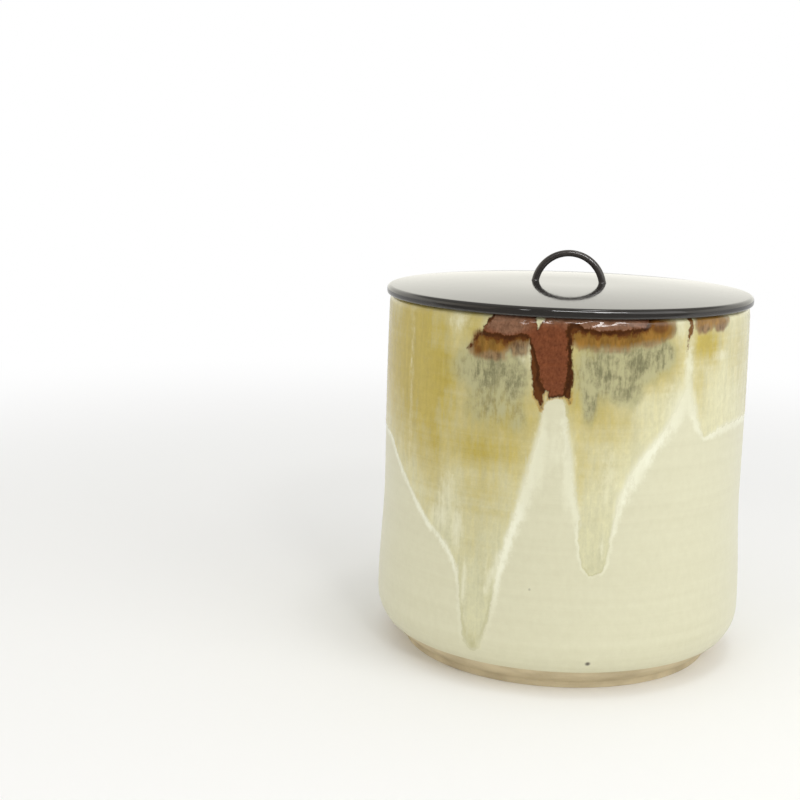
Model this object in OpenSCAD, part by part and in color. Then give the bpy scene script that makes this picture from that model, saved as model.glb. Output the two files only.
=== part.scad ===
// Mizusashi: a stoneware water jar with a runny glaze, and a black lacquered wooden lid with a bow handle.
// Millimetres. Z is up, the origin is the centre of the foot where it stands, and the bow lies along X.

/* [Jar] */
// Height of the jar from the table to the top of its glazed rim
jar_h = 177; // [150:1:210]
// Diameter of the clay at the belly, its widest place
belly_d = 184; // [170:1:200]
// Height of the belly
belly_z = 25.5; // [20:0.5:40]
// Diameter of the clay at the waist
waist_d = 179.4; // [166:0.2:190]
// Height of the waist
waist_z = 85; // [60:1:120]
// Diameter of the clay at the mouth, over the outside of the rim
mouth_d = 177.8; // [164:0.2:190]
// Thickness of the clay wall
wall_t = 6.4; // [5:0.1:9]
// Thickness of the clay floor
floor_t = 8; // [5:0.5:12]
// Rounding of the rim's two edges
lip_r = 2.4; // [0.8:0.1:4]
// Rounding between the inside wall and the floor
inner_heel_r = 20; // [8:1:30]

/* [Foot] */
// Diameter of the foot
foot_d = 155.2; // [130:0.2:165]
// Height of the foot, up to where the heel starts to swell
foot_h = 3.2; // [2:0.1:6]
// Width of the ring that the jar stands on
foot_ring_w = 11; // [6:0.5:20]
// Depth of the hollow inside the foot ring
foot_hollow = 2.4; // [1:0.1:4]
// Chamfer on the edges of the foot ring
foot_chamfer = 0.6; // [0.2:0.1:1]
// How late the heel bends inwards: higher keeps the wall upright for longer
heel_power = 2.25; // [1.6:0.05:3]

/* [Glaze] */
// Thickness of the glaze
glaze_t = 0.8; // [0.4:0.1:1.4]
// Height at which the glaze stops, above the bare clay of the heel
glaze_line_z = 11.4; // [8:0.2:16]
// Height over which the lower edge of the glaze thins out to nothing
glaze_edge_h = 1; // [0.5:0.1:2]

/* [Lid] */
// How far the lid stands out past the rim
lid_overhang = 1.3; // [0.4:0.1:4]
// Thickness of the lid in the middle
lid_t = 7.6; // [6:0.1:12]
// Height of the lid's edge
lid_edge_t = 4.6; // [4:0.1:5.6]
// Radius of the edge's rounded upper corner
lid_shoulder_r = 2.2; // [1:0.1:2.4]
// Radius of the edge's rounded lower corner
lid_under_r = 1.4; // [0.6:0.1:1.5]
// How late the crown falls from the flat middle to the edge
crown_power = 2; // [1.6:0.1:5]

/* [Locating ring] */
// Play between the locating ring and the inside of the mouth
ring_play = 1.6; // [0.6:0.1:3]
// Width of the locating ring's section
ring_w = 4; // [2.5:0.1:7]
// How far the locating ring reaches below the lid
ring_drop = 5; // [3:0.5:9]
// Depth of the groove that the ring is glued into
ring_groove = 1.6; // [0.8:0.1:3]
// Chamfer on the lower edges of the locating ring
ring_chamfer = 0.8; // [0.2:0.1:1.2]

/* [Handle bow] */
// Radius of the bow, at the middle of its rod
bow_r = 17; // [14:0.5:26]
// Diameter of the rod
rod_d = 3.5; // [2.8:0.1:6]
// How far the centre of the bow's arc lies below the top of the lid
bow_sink = 2.8; // [1:0.1:6]
// Diameter of the tenons under the bow's feet
tenon_d = 2.6; // [1.6:0.1:2.8]
// Length of the tenons
tenon_len = 5; // [3:0.1:5.4]
// Height of the lacquer that gathers round each foot of the bow
foot_bead_h = 0.9; // [0.4:0.1:2]
// Width by which that lacquer spreads round the foot
foot_bead_w = 0.5; // [0.2:0.1:1]

/* [Fits] */
// Room for glue around a tenon or the ring in its groove
glue_gap = 0.1; // [0.05:0.05:0.2]

/* [Hidden] */

$fn = 128;
// Points along each curve of the sections
heel_steps = 10;
wall_steps = 26;
arc_steps = 8;
crown_steps = 22;
// Height step for measuring the slope of the outside
slope_probe = 0.05;
// How far a cut starts outside the piece
cut_margin = 1;
// Least flat width between the rim's two rounded edges
least_land = 0.8;
// How late the wall draws in towards the mouth
mouth_power = 3;
// Width of the lid's flat middle past the bow's feet
seat_margin = 1;

belly_r = belly_d / 2;
waist_r = waist_d / 2;
mouth_r = mouth_d / 2;
foot_r = foot_d / 2;
rim_z = jar_h - glaze_t;
lip = min(lip_r, (wall_t - least_land) / 2);
lip_z = rim_z - lip;
floor_z = foot_hollow + floor_t;
inner_heel_z = floor_z + inner_heel_r;

rim_outer_r = outside_r(lip_z);
rim_inner_r = rim_outer_r - wall_t;
inner_heel_axis_r = outside_r(inner_heel_z) - wall_t - inner_heel_r;

rod_r = rod_d / 2;
tenon_r = tenon_d / 2;
bow_foot_x = sqrt(bow_r * bow_r - bow_sink * bow_sink);

lid_r = rim_outer_r + glaze_t + lid_overhang;
lid_z = jar_h;
flat_r = bow_foot_x + rod_r + foot_bead_w + seat_margin;
edge_slope = atan(crown_power * (lid_t - lid_edge_t) / (lid_r - flat_r));
crown_r = lid_r - lid_shoulder_r * (1 - sin(edge_slope));
crown_h = lid_t - lid_edge_t + lid_shoulder_r * (1 - cos(edge_slope));

ring_outer_r = rim_inner_r - glaze_t - ring_play;
ring_inner_r = ring_outer_r - ring_w;
groove_depth = min(ring_groove, lid_edge_t / 2);

bow_foot_z = lid_z + lid_t;
bow_axis_z = bow_foot_z - bow_sink;

// Easing from 0 to 1, level at both ends
function ease(t) = (1 - cos(180 * t)) / 2;

// Radius of the clay's outside at height z: heel, then belly to waist, then waist to mouth
function outside_r(z) =
    z < belly_z ? belly_r - (belly_r - foot_r) * pow((belly_z - z) / (belly_z - foot_h), heel_power)
    : z < waist_z ? waist_r + (belly_r - waist_r) * ease((waist_z - z) / (waist_z - belly_z))
    : waist_r + (mouth_r - waist_r) * pow((z - waist_z) / (rim_z - waist_z), mouth_power);

// Point on the outside at height z, moved out by a thickness square to the surface
function outside_point(z, out) =
    let (slope = (outside_r(z + slope_probe) - outside_r(z - slope_probe)) / (2 * slope_probe),
         span = sqrt(1 + slope * slope))
    [outside_r(z) + out / span, z - out * slope / span];

// Points on an arc from one angle to another
function arc(axis_r, axis_z, radius, from_a, to_a) =
    [for (i = [0:arc_steps])
        let (a = from_a + (to_a - from_a) * i / arc_steps)
        [axis_r + radius * cos(a), axis_z + radius * sin(a)]];

// Outside of the heel from one height up to just below another
function heel_points(from_z, to_z, out) =
    [for (i = [0:heel_steps - 1]) outside_point(from_z + (to_z - from_z) * i / heel_steps, out)];

// Outside of the heel that the glaze covers, at the clay's surface
function covered_heel_points() = heel_points(glaze_line_z, belly_z, 0);

// Outside of the wall from the belly up, over the rim and down the inside to the middle of the floor
function skin_points(out) = concat(
    [for (i = [0:wall_steps - 1]) outside_point(belly_z + (lip_z - belly_z) * i / wall_steps, out)],
    arc(rim_outer_r - lip, lip_z, lip + out, 0, 90),
    arc(rim_inner_r + lip, lip_z, lip + out, 90, 180),
    [for (i = [1:wall_steps - 1])
        let (z = lip_z + (inner_heel_z - lip_z) * i / wall_steps)
        [outside_r(z) - wall_t - out, z]],
    arc(inner_heel_axis_r, inner_heel_z, inner_heel_r - out, 0, -90),
    [[0, floor_z + out]]
);

// Underside of the jar, from the middle of the hollow out to the top of the foot
function foot_points() = [
    [0, foot_hollow],
    [foot_r - foot_ring_w, foot_hollow],
    [foot_r - foot_ring_w, foot_chamfer],
    [foot_r - foot_ring_w + foot_chamfer, 0],
    [foot_r - foot_chamfer, 0],
    [foot_r, foot_chamfer]
];

// Reversed copy of a list of points
function reversed(points) = [for (i = [len(points) - 1:-1:0]) points[i]];

// Height of the lid's top surface above its underside, from its flat middle (0) to its edge (1)
function crown_z(share) = lid_t - crown_h * pow(share, crown_power);

// Section of the lid, from the middle of its top round the edge to the middle of its underside
function lid_points() = concat(
    [[0, lid_t]],
    [for (i = [0:crown_steps - 1])
        let (share = i / crown_steps)
        [flat_r + (crown_r - flat_r) * share, crown_z(share)]],
    arc(lid_r - lid_shoulder_r, lid_edge_t - lid_shoulder_r, lid_shoulder_r, 90 - edge_slope, 0),
    arc(lid_r - lid_under_r, lid_under_r, lid_under_r, 0, -90),
    [[0, 0]]
);

// Copies a child to both feet of the bow
module at_bow_feet() {
    for (side = [-1, 1])
        translate([side * bow_foot_x, 0, bow_foot_z])
            children();
}

// Thrown stoneware wall, floor and trimmed foot
module clay_body() {
    color([0.47, 0.40, 0.35])
        rotate_extrude()
            polygon(concat(
                foot_points(),
                heel_points(foot_h, glaze_line_z, 0),
                covered_heel_points(),
                skin_points(0)
            ));
}

// Glaze over the outside above the heel, over the rim and over the inside
module glaze_coat() {
    color([0.83, 0.76, 0.65])
        rotate_extrude()
            polygon(concat(
                heel_points(glaze_line_z + glaze_edge_h, belly_z, glaze_t),
                skin_points(glaze_t),
                reversed(concat(covered_heel_points(), skin_points(0)))
            ));
}

// Turned lid, with the groove for its locating ring and a hole for each tenon
module lid_board() {
    color([0.05, 0.04, 0.04])
        difference() {
            translate([0, 0, lid_z])
                rotate_extrude()
                    polygon(lid_points());
            translate([0, 0, lid_z - cut_margin])
                rotate_extrude()
                    translate([ring_inner_r - glue_gap, 0])
                        square([ring_w + 2 * glue_gap, cut_margin + groove_depth]);
            at_bow_feet()
                translate([0, 0, -tenon_len - glue_gap])
                    cylinder(r = tenon_r + glue_gap, h = tenon_len + glue_gap + cut_margin);
        }
}

// Hoop that keeps the lid centred in the mouth
module lid_locating_ring() {
    color([0.06, 0.05, 0.05])
        translate([0, 0, lid_z])
            rotate_extrude()
                polygon([
                    [ring_inner_r, groove_depth],
                    [ring_inner_r, ring_chamfer - ring_drop],
                    [ring_inner_r + ring_chamfer, -ring_drop],
                    [ring_outer_r - ring_chamfer, -ring_drop],
                    [ring_outer_r, ring_chamfer - ring_drop],
                    [ring_outer_r, groove_depth]
                ]);
}

// Round bow cut flat where it stands on the lid, with a tenon and a bead of lacquer at each foot
module handle_bow() {
    bow_box = 2 * (bow_r + rod_d);
    color([0.09, 0.06, 0.05]) {
        difference() {
            translate([0, 0, bow_axis_z])
                rotate([90, 0, 0])
                    rotate_extrude(angle = 180)
                        translate([bow_r, 0])
                            circle(r = rod_r);
            translate([-bow_box / 2, -rod_d, bow_foot_z - bow_sink - cut_margin])
                cube([bow_box, 2 * rod_d, bow_sink + cut_margin]);
        }
        at_bow_feet() {
            cylinder(r1 = rod_r + foot_bead_w, r2 = rod_r, h = foot_bead_h);
            translate([0, 0, -tenon_len])
                cylinder(r = tenon_r, h = tenon_len + foot_bead_h / 2);
        }
    }
}

clay_body();
glaze_coat();
lid_board();
lid_locating_ring();
handle_bow();
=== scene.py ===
"""Looks of the mizusashi water jar: runny glaze, bare clay and lacquer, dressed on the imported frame."""

import logging
import math
from dataclasses import dataclass
from enum import Enum
from functools import reduce

import bmesh
import bpy
import numpy as np
from mathutils import Matrix, Vector
from mathutils.kdtree import KDTree

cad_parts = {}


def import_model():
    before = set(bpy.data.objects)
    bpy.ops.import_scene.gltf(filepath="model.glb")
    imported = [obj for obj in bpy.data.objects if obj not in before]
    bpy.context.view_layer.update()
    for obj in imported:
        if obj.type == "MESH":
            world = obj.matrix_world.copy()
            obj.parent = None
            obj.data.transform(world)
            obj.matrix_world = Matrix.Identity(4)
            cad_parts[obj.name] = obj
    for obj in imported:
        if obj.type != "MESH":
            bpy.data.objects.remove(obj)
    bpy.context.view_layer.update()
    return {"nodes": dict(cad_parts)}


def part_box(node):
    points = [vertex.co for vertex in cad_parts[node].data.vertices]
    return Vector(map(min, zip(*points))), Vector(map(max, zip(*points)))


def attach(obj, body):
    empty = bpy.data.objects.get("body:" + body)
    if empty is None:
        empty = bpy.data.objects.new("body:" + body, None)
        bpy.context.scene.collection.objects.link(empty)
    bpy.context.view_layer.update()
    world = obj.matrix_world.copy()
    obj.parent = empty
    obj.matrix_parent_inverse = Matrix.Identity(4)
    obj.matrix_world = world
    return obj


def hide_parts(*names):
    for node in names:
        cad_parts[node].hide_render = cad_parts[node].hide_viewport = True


LOG = logging.getLogger("mizusashi")
MM = 0.001
# Metres within which points are one point, and the least number that is divided by
TINY = 1e-6
# Degrees from -Y, towards +X, to the side that the photo shows
FRONT_TURN_DEG = 4.2
# Distance from an outline, in millimetres, beyond which it makes no difference
FAR = 30.0
# Straight spans between two points of an outline
SPANS = 60
# Equal parts that a turned mesh is put together from
WEDGES = 20

Three = tuple[float, float, float]
Color = Three
Point2 = tuple[float, float]
Four = tuple[float, float, float, float]
Outline = tuple[Point2, ...]
Socket = bpy.types.NodeSocket
Input = Socket | float | Three


class Body(Enum):
    """Bodies of the frame that pieces ride on."""

    JAR = "jar"
    LID = "lid"


class Slot(Enum):
    """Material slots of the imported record."""

    CLAY = "bare_clay"
    GLAZE = "runny_glaze"
    LID = "lid_lacquer"
    BOW = "bow_lacquer"


class Interp(Enum):
    """How a mapped range eases between its ends."""

    LINEAR = "LINEAR"
    SMOOTH = "SMOOTHSTEP"


# Shared mesh helpers


def smoothstep(value: np.ndarray, low: float, high: float) -> np.ndarray:
    """Eases a value from 0 at low to 1 at high.

    Args:
        value: Values to ease.
        low: Value that gives 0.
        high: Value that gives 1.

    Returns:
        Eased values from 0 to 1.
    """
    t = np.clip((value - low) / (high - low), 0.0, 1.0)
    return t * t * (3.0 - 2.0 * t)


def arc_points(centre: Point2, radius: float, start: float, end: float, steps: int) -> list[Point2]:
    """Points on an arc in a section.

    Args:
        centre: Centre of the arc, as radius and height.
        radius: Radius of the arc.
        start: First angle in degrees.
        end: Last angle in degrees.
        steps: Number of spans.

    Returns:
        The points from start to end, both included.
    """
    angles = [math.radians(start + (end - start) * i / steps) for i in range(steps + 1)]
    return [(centre[0] + radius * math.cos(a), centre[1] + radius * math.sin(a)) for a in angles]


def line_points(start: Point2, end: Point2, steps: int) -> list[Point2]:
    """Points on a straight line in a section.

    Args:
        start: First point, as radius and height.
        end: Last point.
        steps: Number of spans.

    Returns:
        The points from start to end, both included.
    """
    (r, z), (end_r, end_z) = start, end
    return [(r + (end_r - r) * i / steps, z + (end_z - z) * i / steps) for i in range(steps + 1)]


def turn_section(section: list[Point2], steps: int, tags: list[float] | None = None) -> bmesh.types.BMesh:
    """Turns a section about Z, as on a wheel or a lathe.

    Args:
        section: Points of the section as radius and height in millimetres. It closes on itself unless
            both ends lie on the axis.
        steps: Number of segments round the axis, a multiple of WEDGES.
        tags: Optional number for each point, which its whole ring keeps in the layer "unrolled".

    Returns:
        The turned mesh, merged and with its normals outwards.
    """
    bm = bmesh.new()
    layer = bm.verts.layers.float.new("unrolled")
    verts = [bm.verts.new((r * MM, 0.0, z * MM)) for r, z in section]
    if tags:
        for vert, tag in zip(verts, tags):
            vert[layer] = tag
    edges = [bm.edges.new(pair) for pair in zip(verts, verts[1:])]
    on_axis = section[0][0] == 0.0 and section[-1][0] == 0.0
    if not on_axis:
        edges.append(bm.edges.new((verts[-1], verts[0])))
    turn = math.tau / WEDGES
    bmesh.ops.spin(
        bm, geom=verts + edges, cent=(0, 0, 0), axis=(0, 0, 1), angle=turn, steps=steps // WEDGES,
        use_merge=False,
    )
    wedge = bpy.data.meshes.new("wedge")
    bm.to_mesh(wedge)
    for _ in range(WEDGES - 1):
        wedge.transform(Matrix.Rotation(turn, 4, "Z"))
        bm.from_mesh(wedge)
    bpy.data.meshes.remove(wedge)
    bmesh.ops.remove_doubles(bm, verts=bm.verts, dist=TINY)
    bmesh.ops.recalc_face_normals(bm, faces=bm.faces)
    return bm


def piece_from(bm: bmesh.types.BMesh, name: str, material: bpy.types.Material) -> bpy.types.Object:
    """Makes a smooth-shaded object from a mesh under construction.

    Args:
        bm: Mesh under construction, which is freed.
        name: Name of the piece.
        material: Its material.

    Returns:
        The new object, linked to the scene.
    """
    mesh = bpy.data.meshes.new(name)
    bm.to_mesh(mesh)
    bm.free()
    mesh.shade_smooth()
    mesh.materials.append(material)
    piece = bpy.data.objects.new(name, mesh)
    bpy.context.scene.collection.objects.link(piece)
    return piece


def seat_piece(piece: bpy.types.Object, body: Body, node: str) -> None:
    """Lets a piece ride on its body in place of its CAD node.

    Args:
        piece: Finished piece.
        body: Body that it moves with.
        node: CAD node that it stands for.
    """
    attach(piece, body.value)
    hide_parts(node)
    LOG.info("piece %s: %d faces on body %s", piece.name, len(piece.data.polygons), body.value)


# Shader helpers


class NodeBench:
    """Adds and links the shader nodes of one tree."""

    def __init__(self, tree: bpy.types.NodeTree) -> None:
        """Clears the tree that the nodes go into."""
        self.tree = tree
        self.tree.nodes.clear()

    def add(self, kind: str, **settings: str) -> bpy.types.Node:
        """Adds a node.

        Args:
            kind: Type of the node.
            **settings: Its properties, by name.

        Returns:
            The node.
        """
        node = self.tree.nodes.new(kind)
        for key, value in settings.items():
            setattr(node, key, value)
        return node

    def feed(self, socket: Socket, value: Input) -> None:
        """Links a socket to another one, or sets its value.

        Args:
            socket: Input of a node.
            value: Output of another node, or a number, a vector or a colour.
        """
        if isinstance(value, Socket):
            self.tree.links.new(value, socket)
        elif isinstance(value, tuple) and socket.type == "RGBA":
            socket.default_value = (*value, 1.0)
        else:
            socket.default_value = value

    def read(
        self, kind: str, inputs: dict[int | str, Input], output: int | str = 0, **settings: str
    ) -> Socket:
        """Adds a node, feeds it and hands out what it gives.

        Args:
            kind: Type of the node.
            inputs: What goes into it, by the index or name of the input.
            output: Index or name of the output.
            **settings: Its properties, by name.

        Returns:
            The output.
        """
        node = self.add(kind, **settings)
        for key, value in inputs.items():
            self.feed(node.inputs[key], value)
        return node.outputs[output]

    def math(self, operation: str, first: Input, second: Input) -> Socket:
        """Result of a sum, product or other operation on two numbers."""
        return self.read("ShaderNodeMath", {0: first, 1: second}, operation=operation)

    def plus(self, first: Input, second: Input) -> Socket:
        """Sum of two numbers."""
        return self.math("ADD", first, second)

    def times(self, first: Input, second: Input) -> Socket:
        """Product of two numbers."""
        return self.math("MULTIPLY", first, second)

    def span(
        self, value: Input, low: float, high: float, to_low: float = 0.0, to_high: float = 1.0,
        ease: Interp = Interp.SMOOTH,
    ) -> Socket:
        """Maps a value's range to another, clamped.

        Args:
            value: Number to map.
            low: Value that gives to_low.
            high: Value that gives to_high.
            to_low: Result at low.
            to_high: Result at high.
            ease: How it moves between the ends.

        Returns:
            The mapped value.
        """
        inputs = dict(enumerate((value, low, high, to_low, to_high)))
        return self.read("ShaderNodeMapRange", inputs, interpolation_type=ease.value)

    def hump(self, value: Input, start: float, peak: float, end: float) -> Socket:
        """Rises from 0 at start to 1 at peak and falls back to 0 at end."""
        return self.times(self.span(value, start, peak), self.span(value, end, peak))

    def mix(self, share: Input, low: Input, high: Input) -> Socket:
        """Blends two colours by a share."""
        return self.read("ShaderNodeMix", {0: share, 6: low, 7: high}, 2, data_type="RGBA")

    def shade(self, color: Input, factor: Input) -> Socket:
        """A colour times a number."""
        return self.read("ShaderNodeVectorMath", {0: color, "Scale": factor}, operation="SCALE")

    def part(self, vector: Socket, axis: int) -> Socket:
        """Part of a vector along X, Y or Z, as axis 0, 1 or 2."""
        return self.read("ShaderNodeSeparateXYZ", {0: vector}, axis)

    def distance(self, place: Socket, other: Three) -> Socket:
        """Distance between two places."""
        return self.read("ShaderNodeVectorMath", {0: place, 1: other}, "Value", operation="DISTANCE")


class MaterialBench(NodeBench):
    """Adds and links the shader nodes of one material."""

    def __init__(self, name: str) -> None:
        """Starts a material with a Principled shader on its output.

        Args:
            name: Name of the material.
        """
        self.material = bpy.data.materials.new(name)
        self.material.use_nodes = True
        super().__init__(self.material.node_tree)
        self.output = self.add("ShaderNodeOutputMaterial")
        self.shader = self.add("ShaderNodeBsdfPrincipled")
        self.feed(self.output.inputs[0], self.shader.outputs[0])
        self.coords = self.read("ShaderNodeTexCoord", {}, "Object")

    def attribute(self, name: str) -> Socket:
        """Number that the mesh keeps on its vertices."""
        return self.read("ShaderNodeAttribute", {}, "Fac", attribute_name=name)

    def noise(
        self, per_metre: Three, detail: float, roughness: float, place: Three = (0.0, 0.0, 0.0)
    ) -> Socket:
        """Noise on object coordinates.

        Args:
            per_metre: Grains per metre along X, Y and Z.
            detail: Octaves.
            roughness: Strength of the finer octaves.
            place: Shift of the pattern, to get another one.

        Returns:
            A number from 0 to 1.
        """
        placing = {"Vector": self.coords, "Scale": per_metre, "Location": place}
        grains = {"Scale": 1.0, "Detail": detail, "Roughness": roughness}
        grains["Vector"] = self.read("ShaderNodeMapping", placing)
        return self.read("ShaderNodeTexNoise", grains, "Fac")

    def ripple(
        self, per_metre: Three, detail: float, roughness: float, place: Three = (0.0, 0.0, 0.0)
    ) -> Socket:
        """Noise as above, moved to lie around zero."""
        return self.math("SUBTRACT", self.noise(per_metre, detail, roughness, place), 0.5)

    def bump(self, height: Socket, distance: float) -> None:
        """Roughens the shader's normal by a pattern, whose height 1 stands for a distance in metres."""
        relief = {"Height": height, "Distance": distance, "Strength": 1.0}
        self.feed(self.shader.inputs["Normal"], self.read("ShaderNodeBump", relief))

    def finish(self, color: Input, roughness: Input, ior: float = 1.5) -> bpy.types.Material:
        """Connects the looks that every finish has.

        Args:
            color: Base colour.
            roughness: Roughness of the surface.
            ior: Index of refraction.

        Returns:
            The finished material.
        """
        for name, value in (("Base Color", color), ("Roughness", roughness), ("IOR", ior)):
            self.feed(self.shader.inputs[name], value)
        return self.material


# Pattern of the glaze, in millimetres round the jar from its front and up from its foot


@dataclass(frozen=True)
class SoftPatch:
    """A soft-edged oval where a colour gathers."""

    along: float
    height: float
    half_width: float
    half_height: float
    strength: float = 1.0

    @classmethod
    def several(cls, *sizes: tuple[float, ...]) -> tuple["SoftPatch", ...]:
        """Patches from the values of their fields."""
        return tuple(cls(*size) for size in sizes)


@dataclass(frozen=True)
class GlazePattern:
    """Where the glaze ran, and where its iron, amber and ash colours lie.

    Outlines are points as distance along the wall from the middle of the front and height. Heights above
    the rim count on down the inside of the wall. Points of the run edge also have its softness in
    millimetres and its whiteness. Each inside wave has a height, a count round the jar and a phase. The
    run's edge is kept for the given share of the girth to each side of the front.
    """

    girth: float
    rim: float
    run_edge: tuple[Four, ...] = (
        (-130, 110.4, 2.0, 0.8), (-118, 110, 2.0, 0.9), (-106.7, 108.4, 2.0, 1), (-96.7, 100.4, 2.0, 1),
        (-79.7, 85.4, 2.0, 1), (-65.7, 73.4, 2.0, 1), (-56.8, 67.4, 2.0, 1), (-50.4, 60.6, 2.0, 0.9),
        (-47.5, 54, 1.6, 0.6), (-46, 45, 1.4, 0.45), (-44.6, 35, 1.4, 0.3), (-43.2, 26.5, 1.6, 0.15),
        (-41.8, 21, 2.4, 0.05), (-38, 17.6, 3.2, 0), (-34, 20.6, 2.4, 0.05), (-31.4, 28, 1.6, 0.15),
        (-29.3, 38, 1.4, 0.3), (-27.9, 47, 1.6, 0.5), (-27.7, 55, 2.2, 0.85), (-25.6, 64.5, 2.8, 1),
        (-22.7, 76.4, 3.0, 1), (-19, 88, 3.2, 0.9), (-15.2, 102, 3.5, 0.6), (-12.6, 114, 3.5, 0.5),
        (-10, 123, 3.0, 0.4), (-9.2, 130, 2.0, 0.2), (-8.5, 137, 1.0, 0), (-4, 141.5, 1.0, 0),
        (0, 140, 1.0, 0), (1.3, 135, 1.6, 0.2), (2.8, 122, 2.6, 0.6), (5.3, 105, 2.8, 0.65),
        (7.4, 92, 2.2, 0.7), (9.2, 87, 1.4, 0.7), (10.2, 84.6, 1.2, 0.6), (8.9, 80.5, 1.2, 0.6),
        (9.5, 78, 1.1, 0.6), (9.1, 76, 1.1, 0.6), (10.2, 73, 1.0, 0.6), (10.1, 70, 1.0, 0.5),
        (10.7, 67, 1.0, 0.5), (11.8, 63.4, 0.9, 0.4), (14.4, 60.2, 0.8, 0.25), (17.2, 59.3, 0.8, 0.2),
        (20.6, 60.8, 0.9, 0.3), (22.7, 64.4, 1.0, 0.5), (23.4, 69, 1.0, 0.5), (24.3, 72, 1.1, 0.55),
        (24, 75, 1.1, 0.6), (25.1, 79, 1.3, 0.65), (25.9, 84, 2.0, 0.75), (27.2, 92.4, 3.2, 0.9),
        (30.4, 100.7, 3.8, 1), (35.4, 109.6, 4.0, 1), (41.5, 117.7, 4.0, 1), (48.5, 125.2, 4.0, 0.9),
        (53.4, 132.5, 4.6, 0.6), (58, 140.4, 5.5, 0.3), (60.5, 144, 6.0, 0.15), (63.7, 140, 4.5, 0.3),
        (67.3, 131, 3.0, 0.5), (70.6, 124, 1.8, 0.6), (72.7, 121, 1.3, 0.5), (76, 120.9, 1.8, 0.75),
        (80, 122.3, 2.4, 0.7), (88, 123.8, 2.6, 0.6), (100, 124.2, 2.6, 0.6), (120, 124.2, 2.4, 0.9),
        (135, 122, 2.0, 0.9), (146, 112, 2.0, 0.9), (152, 96, 1.6, 0.6), (156, 84, 1.4, 0.4),
        (160, 80, 1.8, 0.1), (164, 84, 1.4, 0.4), (168, 98, 2.4, 0.8), (176, 118, 3.4, 1),
        (186, 134, 4.2, 0.6), (192, 138, 4.4, 0.3), (197, 130, 2.6, 0.6), (203, 112, 2.0, 0.9),
        (210, 92, 2.0, 1), (216, 70, 1.6, 0.7), (220, 52, 1.4, 0.4), (223, 42, 1.5, 0.3),
        (227, 38, 2.4, 0.05), (231, 43, 1.5, 0.3), (234, 56, 1.6, 0.5), (239, 78, 2.8, 0.9),
        (247, 100, 3.6, 1), (258, 116, 3.6, 0.7), (268, 121, 2.8, 0.5), (276, 112, 2.0, 0.7),
        (282, 100, 1.3, 0.5), (287, 96, 1.2, 0.2), (292, 101, 1.3, 0.5), (298, 120, 2.8, 0.8),
        (306, 139, 4.2, 0.6), (311, 143, 4.6, 0.2), (316, 136, 3.0, 0.5), (322, 118, 2.2, 0.9),
        (329, 98, 2.0, 1), (336, 84, 1.8, 0.8), (343, 72, 1.4, 0.5), (348, 66, 1.8, 0.1),
        (353, 70, 1.4, 0.4), (357, 82, 2.0, 0.7), (364, 98, 2.8, 1), (374, 110, 3.0, 1),
        (388, 117, 2.4, 0.9), (405, 116, 2.0, 0.9), (420, 112, 2.0, 0.9), (432, 110.7, 2.0, 0.8),
    )
    iron: tuple[Outline, ...] = (
        (
            (-34.5, 187), (-35.2, 177), (-36.1, 175.4), (-37.8, 174.4), (-37.4, 172.9), (-39.8, 171.4),
            (-39.6, 169.9), (-41.8, 168.7), (-41.4, 167.2), (-43.6, 165.5), (-43.3, 164.2),
            (-45.6, 162.3), (-47, 160.2), (-43.9, 161.4), (-42.4, 163.9), (-40.6, 166.4), (-37.4, 166.7),
            (-34.5, 166.1), (-32, 165.6), (-29.6, 166.1), (-27.4, 164.6), (-25.2, 165.2), (-23, 166.4),
            (-19, 166.3), (-16.9, 167.2), (-15.8, 160), (-15.2, 153.7), (-14.1, 146.5), (-13.3, 141),
            (-11.5, 139), (-9.5, 135), (-8.9, 139.6), (-8.6, 142.7), (-7.6, 144.2), (-6.8, 143.9),
            (-6.9, 140.6), (-3.9, 141.2), (0.2, 142.2), (2.2, 141), (2.9, 139.5), (3.1, 145.4),
            (3.9, 150.6), (3.1, 156.7), (2.2, 165), (2, 170.4), (6.2, 171), (10.8, 170.4), (17.1, 169.9),
            (24.7, 169.9), (29.4, 170.6), (33, 171.4), (36, 172), (38.4, 172.8), (40, 173.8),
            (41, 175.4), (41.4, 177), (42, 179), (42, 186), (20, 184), (4, 189), (-18, 185),
        ),
        (
            (60, 181), (63, 181), (62.8, 175.7), (61.9, 171), (60.6, 167.6), (59.9, 164), (59.4, 161.4),
            (59.2, 165), (59.4, 170), (59.8, 174),
        ),
        (
            (138, 188), (139, 175), (143, 168), (152, 166), (160, 167), (166, 165), (168, 156),
            (170, 149), (173, 144), (176, 147), (179, 155), (181, 164), (190, 167), (199, 169),
            (206, 174), (208, 187), (172, 184),
        ),
        (
            (252, 187), (254, 174), (262, 170), (274, 169), (280, 163), (283, 159), (286, 164),
            (290, 170), (298, 175), (300, 188),
        ),
        (
            (330, 188), (332, 172), (338, 167), (345, 166), (348, 158), (350, 147), (352, 139),
            (354, 147), (357, 160), (362, 167), (372, 171), (379, 177), (380, 186), (356, 184),
        ),
    )
    iron_core: Outline = (
        (-33, 192), (-34.5, 176.5), (-36.5, 173.8), (-38.5, 171), (-41, 168.8), (-39, 169),
        (-36.5, 168.2), (-34, 167.6), (-30, 168.2), (-28, 167.4), (-23.5, 167.8), (-21, 168.5),
        (-17, 169), (-15.8, 166), (-13.5, 162), (-12.3, 157), (-11, 152), (-10.8, 148), (-9.4, 144.8),
        (-7, 143.6), (-6.2, 141.6), (-3.9, 142), (-0.4, 143), (0.6, 147), (1.2, 151), (0.7, 158),
        (0.6, 166), (0.4, 171), (1.4, 174.4), (4, 175.4), (6, 174.4), (8, 172.9), (14, 171.9),
        (21, 171.6), (28, 171.8), (33, 172.8), (37, 174.8), (39, 179), (40, 192),
    )
    iron_gap: Outline = (
        (-14.2, 178.5), (-13.9, 175.2), (-12.9, 172.6), (-11.2, 174), (-9.8, 175.6), (-9.3, 178.5),
    )
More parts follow.
